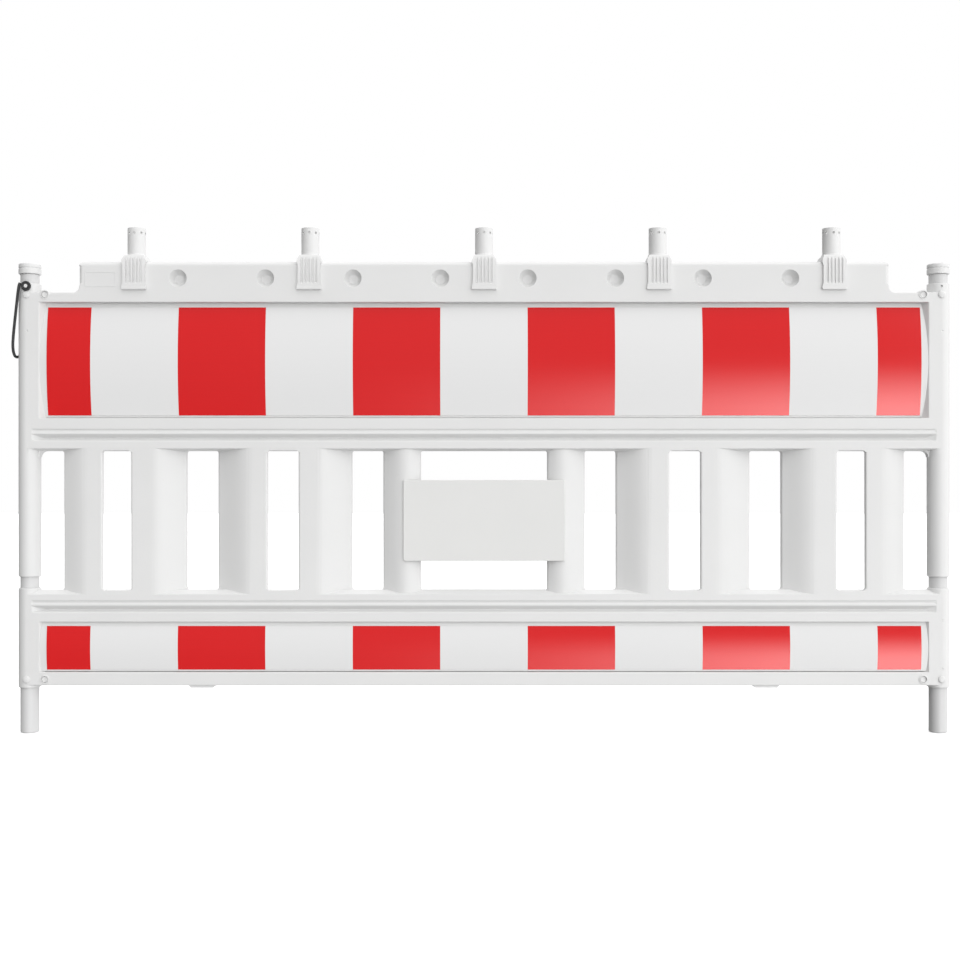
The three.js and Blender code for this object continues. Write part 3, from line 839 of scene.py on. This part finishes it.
class BARRICADE_OT_sheeting(bpy.types.Operator):
    """Lays the red and white reflective sheeting on both faces of each board"""

    bl_idname = "barricade.sheeting"
    bl_label = "Reflective Sheeting"

    def execute(self, context):
        for level, (middle, height, _) in CROWNS.items():
            low, high = middle - height / 2, middle + height / 2
            under = crown(level, low, high, 0.3)
            over = crown(level, low + 0.3, high - 0.3, 0.9)
            front = prism(f"{level}_film_front", "X", under + over[::-1], -FILM_HALF, FILM_HALF)
            smooth(front, 25)
            back = copied(front, f"{level}_film_back", flip=(1, -1, 1))
            for film, (face, _) in zip((front, back), FACES):
                hand_over(film, film.name, material("reflective_sheeting"), "frame",
                          [f"{level}_sheeting_{face}"])
        return {"FINISHED"}


class BARRICADE_OT_plates(bpy.types.Operator):
    """Fits the blank lettering plates over the middle window"""

    bl_idname = "barricade.plates"
    bl_label = "Lettering Plates"

    def execute(self, context):
        low, high = PLATE
        outline = softened([(low.x, low.z, 3), (high.x, low.z, 3), (high.x, high.z, 3), (low.x, high.z, 3)])
        front = prism("lettering_plate_front_panel", "Y", outline, low.y, high.y)
        round_edges(front, 1.2, lambda end: end.y < low.y + 0.01, 3)
        smooth(front)
        back = copied(front, "lettering_plate_back_panel", flip=(1, -1, 1))
        for plate, (face, _) in zip((front, back), FACES):
            hand_over(plate, plate.name, material("plate_plastic"), "frame",
                      [f"lettering_plate_{face}"])
        return {"FINISHED"}


# ---------------------------------------------------------------- lamp adapters


def lamp_adapter():
    """One lamp adapter on the middle of the flange: a ribbed saddle and a drilled tube."""
    inner = FACE + 0.3
    outer = 30.6
    seat = FLANGE_TOP + 0.3
    body = prism("saddle", "Y", softened([
        (-25.5, 1016), (25.5, 1016), (25.5, 1070, 2), (28, 1078, 2), (27, 1084, 3),
        (22, 1095, 2), (-22, 1095, 2), (-27, 1084, 3), (-28, 1078, 2), (-25.5, 1070, 2)], 3), -outer, outer)
    hood = prism("hood", "X", softened([
        (-outer - 1, 1010), (outer + 1, 1010), (outer + 1, 1082, 6), (outer - 7, 1096, 6),
        (-outer + 7, 1096, 6), (-outer - 1, 1082, 6)]), -40, 40)
    combine(body, [hood], "INTERSECT")
    round_edges(body, 1.6, lambda end: abs(end.y) > outer - 0.01, 3)
    lip = prism("lip", "Y", softened([
        (-28.2, 1015.5, 1.5), (28.2, 1015.5, 1.5), (28.2, 1020.5, 2), (26, 1030, 3),
        (-26, 1030, 3), (-28.2, 1020.5, 2)], 3), -outer - 0.2, outer + 0.2)
    bead = prism("bead", "Y", softened([
        (-28.5, 1015, 1.5), (28.5, 1015, 1.5), (28.5, 1020.5, 2), (-28.5, 1020.5, 2)], 3), -32, 32)
    round_edges(bead, 1.1, lambda end: abs(end.y) > 31.9, 3)
    tube = turned("tube", "Z", softened([
        (0, 1085), (20.5, 1085), (20.5, 1142.5), (20.5, 1151.5), (20.5, 1159, 1), (17, 1159, 1),
        (17, 1151.5), (17, 1142.5), (17, 1090), (0, 1090)], 3), (0, 0), 64)
    collar = turned("collar", "Z", softened([
        (0, 1086), (22.6, 1086), (22.6, 1096.5, 1.5), (20.4, 1098.5, 1), (0, 1098.5)], 3), (0, 0), 64)
    combine(collar, [turned("bore", "Z", [(0, 1092), (17, 1092), (17, 1105), (0, 1105)], (0, 0), 64)],
            "DIFFERENCE")
    combine(body, [lip, bead, collar, tube], "UNION")
    hollow = prism("hollow", "X", softened([
        (-inner, 1000), (inner, 1000), (inner, seat, 8.5), (-inner, seat, 8.5)], 5), -50, 50)
    combine(body, [hollow], "DIFFERENCE")
    ribs = []
    for k in range(5):
        x = (k - 2) * 8.2
        groove = [(x - 3.0, -outer - 3), (x - 2.8, -outer), (x - 1.9, -outer + 3.8),
                  (x + 1.9, -outer + 3.8), (x + 2.8, -outer), (x + 3.0, -outer - 3)]
        rib = prism("rib", "Z", groove[::-1], 1110, 1033, ramp=(0, -6.5, -8))
        ribs += [rib, copied(rib, "rib", flip=(1, -1, 1))]
    combine(body, [merged(ribs)], "DIFFERENCE")
    for turn in range(4):
        drill = turned("drill", "Y", [(0, -30), (2.9, -30), (2.9, 30), (0, 30)], (0, 1147), 24)
        work_on(drill)
        drill.rotation_euler = (0, 0, math.pi * turn / 4)
        bpy.ops.object.transform_apply(location=False, rotation=True, scale=False)
        combine(body, [drill], "DIFFERENCE")
    smooth(body)
    return body


class BARRICADE_OT_lamp_adapters(bpy.types.Operator):
    """Clips the five lamp adapters on the flange"""

    bl_idname = "barricade.lamp_adapters"
    bl_label = "Lamp Adapters"

    def execute(self, context):
        first = lamp_adapter()
        for node in ADAPTERS:
            low, high = limits(node)
            adapter = copied(first, f"{node}_fitting", shift=((low.x + high.x) / 2, 0, 0))
            hand_over(adapter, adapter.name, material("moulded_plastic"), "frame", [node])
        bpy.data.objects.remove(first)
        return {"FINISHED"}


# ---------------------------------------------------------------- feet and fasteners


class BARRICADE_OT_turning_feet(bpy.types.Operator):
    """Puts the turning foot tubes and their caps in the posts"""

    bl_idname = "barricade.turning_feet"
    bl_label = "Turning Feet"

    def execute(self, context):
        wall = 4.0
        top = CAP_LOW - 0.3
        tube_profile = softened([
            (0, 0), (TUBE_R, 0, 3), (TUBE_R, top, 0.8), (TUBE_R - wall, top, 0.8),
            (TUBE_R - wall, 6, 2), (0, 6)])
        spigot = TUBE_R - wall - 0.3
        waist = CAP_LOW + 13.5
        cap_profile = softened([
            (0, CAP_LOW - 30), (spigot, CAP_LOW - 30, 1), (spigot, CAP_LOW), (SLEEVE_R, CAP_LOW, 1.6),
            (SLEEVE_R, waist - 1.6, 1.2), (SLEEVE_R - 1.7, waist, 0.8), (SLEEVE_R, waist + 1.6, 1.2),
            (SLEEVE_R, CAP_TOP, 3), (SLEEVE_R - 9, CAP_TOP, 1), (SLEEVE_R - 11, CAP_TOP - 1.2, 1),
            (0, CAP_TOP - 1.2)], 3)
        for name, side in SIDES:
            centre = (side * POST_X, 0)
            tube = turned(f"foot_tube_{name}_pipe", "Z", tube_profile, centre, 96)
            cap = turned(f"tube_cap_{name}_lid", "Z", cap_profile, centre, 96)
            for piece, slot, finish in ((tube, "tube", "tube_plastic"), (cap, "shell", "moulded_plastic")):
                smooth(piece)
                node = piece.name.rsplit("_", 1)[0]
                hand_over(piece, piece.name, material(finish), f"foot_{name}", [node])
        return {"FINISHED"}


class BARRICADE_OT_fasteners(bpy.types.Operator):
    """Adds the sleeve plugs, the corner rivets and the loop's screws"""

    bl_idname = "barricade.fasteners"
    bl_label = "Fasteners"

    def execute(self, context):
        seat = SLEEVE_R + 0.3
        finish = material("button_plastic")
        plug = softened([
            (0, seat - 3), (4, seat - 3), (4, seat), (8.6, seat, 0.5), (8.4, seat + 1.1, 0.6),
            (6.3, seat + 2.7, 2), (2.4, seat + 3.5, 3), (0, seat + 3.5)], 3)
        screw = softened([
            (0, SLEEVE_R - 3), (2.2, SLEEVE_R - 3), (2.2, seat), (3.6, seat), (3.6, seat + 4.4),
            (4.3, seat + 4.4, 0.4), (4.3, seat + 6.2, 1.2), (1.6, seat + 6.7, 0.5),
            (1.1, seat + 5.8, 0.3), (0, seat + 5.8)], 3)
        head = [(6.8, FACE - 2.7), (6.8, FACE - 0.6, 0.6), (5.4, FACE - 0.4, 0.6), (4.4, FACE - 1.6, 1),
                (0, FACE - 1.8)]
        shaft = [(0, -FACE + 1.8), (4.4, -FACE + 1.6, 1), (5.4, -FACE + 0.4, 0.6), (6.8, -FACE + 0.6, 0.6),
                 (6.8, -FACE + 2.7), (5, -FACE + 2.7), (5, FACE - 2.7)]
        for face, facing in FACES:
            for name, side in SIDES:
                for level, z in (("upper", 1004), ("lower", 124)):
                    profile = [(r, facing * y) for r, y in plug]
                    dome = turned("dome", "Y", profile, (side * POST_X, z), 40)
                    smooth(dome)
                    node = f"{level}_plug_{name}_{face}"
                    hand_over(dome, f"{node}_dome", finish, "frame", [node])
            button = turned("button", "Y", [(r, facing * y) for r, y in screw], (-POST_X, LOOP_Z), 40)
            smooth(button)
            hand_over(button, f"loop_screw_{face}_button", finish, "frame",
                      [f"loop_screw_{face}"])
        for x, z in CORNERS:
            rivet = turned("rivet", "Y", softened(shaft + head, 3), (x, z), 40)
            smooth(rivet)
            level = "upper" if z > 500 else "lower"
            node = f"corner_rivet_{level}_{'left' if x < 0 else 'right'}"
            hand_over(rivet, f"{node}_head", finish, "frame", [node])
        return {"FINISHED"}


# ---------------------------------------------------------------- floor, light and camera


class BARRICADE_OT_studio(bpy.types.Operator):
    """Sets up the pale floor, the soft light and the camera"""

    bl_idname = "barricade.studio"
    bl_label = "Studio"

    def execute(self, context):
        scene = context.scene
        scene.view_settings.view_transform = "Standard"
        bpy.ops.object.select_all(action="DESELECT")
        bpy.ops.object.camera_add(location=mm(-9.2, -3072, 580), rotation=(math.pi / 2, 0, 0))
        camera = context.active_object
        camera.data.lens = 50
        camera.data.sensor_width = 36
        camera.data.clip_end = 100
        scene.camera = camera
        self.floor()
        self.sky(scene)
        bpy.ops.object.light_add(type="AREA", location=(2.6, -2.0, 1.3))
        lamp = context.active_object
        lamp.data.shape = "RECTANGLE"
        lamp.data.size = 1.6
        lamp.data.size_y = 2.0
        lamp.data.energy = 7
        lamp.data.specular_factor = 0.15
        aim = Vector((0.5, 0, 0.6)) - lamp.location
        lamp.rotation_euler = aim.to_track_quat("-Z", "Y").to_euler()
        lamp.visible_camera = False
        return {"FINISHED"}

    def floor(self):
        bpy.ops.object.select_all(action="DESELECT")
        bpy.ops.mesh.primitive_plane_add(size=40, location=(0, 0, -0.0005))
        ground = bpy.context.active_object
        ground.name = "pale_floor"
        finish = Finish("pale_floor", {"Base Color": (0.8, 0.8, 0.8, 1), "Roughness": 0.9,
                                       "Emission Color": (1, 1, 1, 1), "Emission Strength": 0.42})
        haze = finish.grain(0.8, 2.0)
        tone = finish.blended(haze, (0.79, 0.79, 0.79, 1), (0.81, 0.81, 0.81, 1))
        finish.feed(finish.surface.inputs["Base Color"], tone)
        ground.data.materials.append(finish.material)
        ground.visible_glossy = False
        ground.visible_diffuse = False

    def sky(self, scene):
        """White behind the object, dimmer light from the left, and a low bright strip ahead."""
        world = bpy.data.worlds.new("studio")
        scene.world = world
        world.use_nodes = True
        nodes = Nodes(world.node_tree)
        nodes.tree.nodes.clear()
        place = nodes.make("TexCoord").outputs["Generated"]
        split = nodes.make("SeparateXYZ", None, {"Vector": place})
        x, y, z = (Value(nodes.tree, split.outputs[axis]) for axis in "XYZ")
        leftward = nodes.clipped(0 - x, 0.0, 1.0)
        rightward = nodes.clipped(x, 0.0, 1.0)
        down = nodes.clipped(0 - z, 0.0, 1.0)
        up = nodes.clipped(z, 0.0, 1.0)
        diffuse = up * 0.4 - down * 0.75 - leftward * 2.0 - rightward * 0.6 + 1.705
        ahead = nodes.clipped(0 - y, 0.3, 0.9)
        side = nodes.clipped(x, -0.06, 0.3)
        edge = 1 - nodes.clipped(x, 0.36, 0.55)
        low = nodes.clipped(0 - z, -0.05, 0.26)
        strip = side ** 1.5 * edge * low * ahead * 8.5
        glossy = strip + (1 - ahead) * 0.75 + 0.06
        path = nodes.make("LightPath")
        seen = Value(nodes.tree, path.outputs["Is Camera Ray"])
        shiny = Value(nodes.tree, path.outputs["Is Glossy Ray"])
        strength = seen * 1.0 + (1 - seen) * (shiny * glossy + (1 - shiny) * diffuse)
        light = nodes.make("Background", None, {"Color": (1, 1, 1, 1), "Strength": strength})
        end = nodes.make("OutputWorld")
        nodes.feed(end.inputs["Surface"], light.outputs[0])


# ---------------------------------------------------------------- the sidebar panel


class BARRICADE_PT_parts(bpy.types.Panel):
    """Lists the barricade's sizes, colours and building steps"""

    bl_label = "Road Barricade"
    bl_idname = "BARRICADE_PT_parts"
    bl_space_type = "VIEW_3D"
    bl_region_type = "UI"
    bl_category = "Barricade"

    def draw(self, context):
        for group in (context.scene.barricade_sizes, context.scene.barricade_colours):
            column = self.layout.column()
            for name in group.__annotations__:
                column.prop(group, name)
        for operator in OPERATORS:
            self.layout.operator(operator.bl_idname)


OPERATORS = (
    BARRICADE_OT_studio,
    BARRICADE_OT_hanging_loop,
    BARRICADE_OT_moulded_frame,
    BARRICADE_OT_boards,
    BARRICADE_OT_sheeting,
    BARRICADE_OT_plates,
    BARRICADE_OT_lamp_adapters,
    BARRICADE_OT_turning_feet,
    BARRICADE_OT_fasteners,
)
CLASSES = (BarricadeSizes, BarricadeColours, *OPERATORS, BARRICADE_PT_parts)


def register():
    for entry in CLASSES:
        bpy.utils.register_class(entry)
    bpy.types.Scene.barricade_sizes = bpy.props.PointerProperty(type=BarricadeSizes)
    bpy.types.Scene.barricade_colours = bpy.props.PointerProperty(type=BarricadeColours)


def unregister():
    del bpy.types.Scene.barricade_colours
    del bpy.types.Scene.barricade_sizes
    for entry in reversed(CLASSES):
        bpy.utils.unregister_class(entry)


def main():
    register()
    bpy.ops.barricade.studio()
    bpy.ops.barricade.hanging_loop()
    bpy.ops.barricade.moulded_frame()
    bpy.ops.barricade.boards()
    bpy.ops.barricade.sheeting()
    bpy.ops.barricade.plates()
    bpy.ops.barricade.lamp_adapters()
    bpy.ops.barricade.turning_feet()
    bpy.ops.barricade.fasteners()


if __name__ == "__main__":
    main()
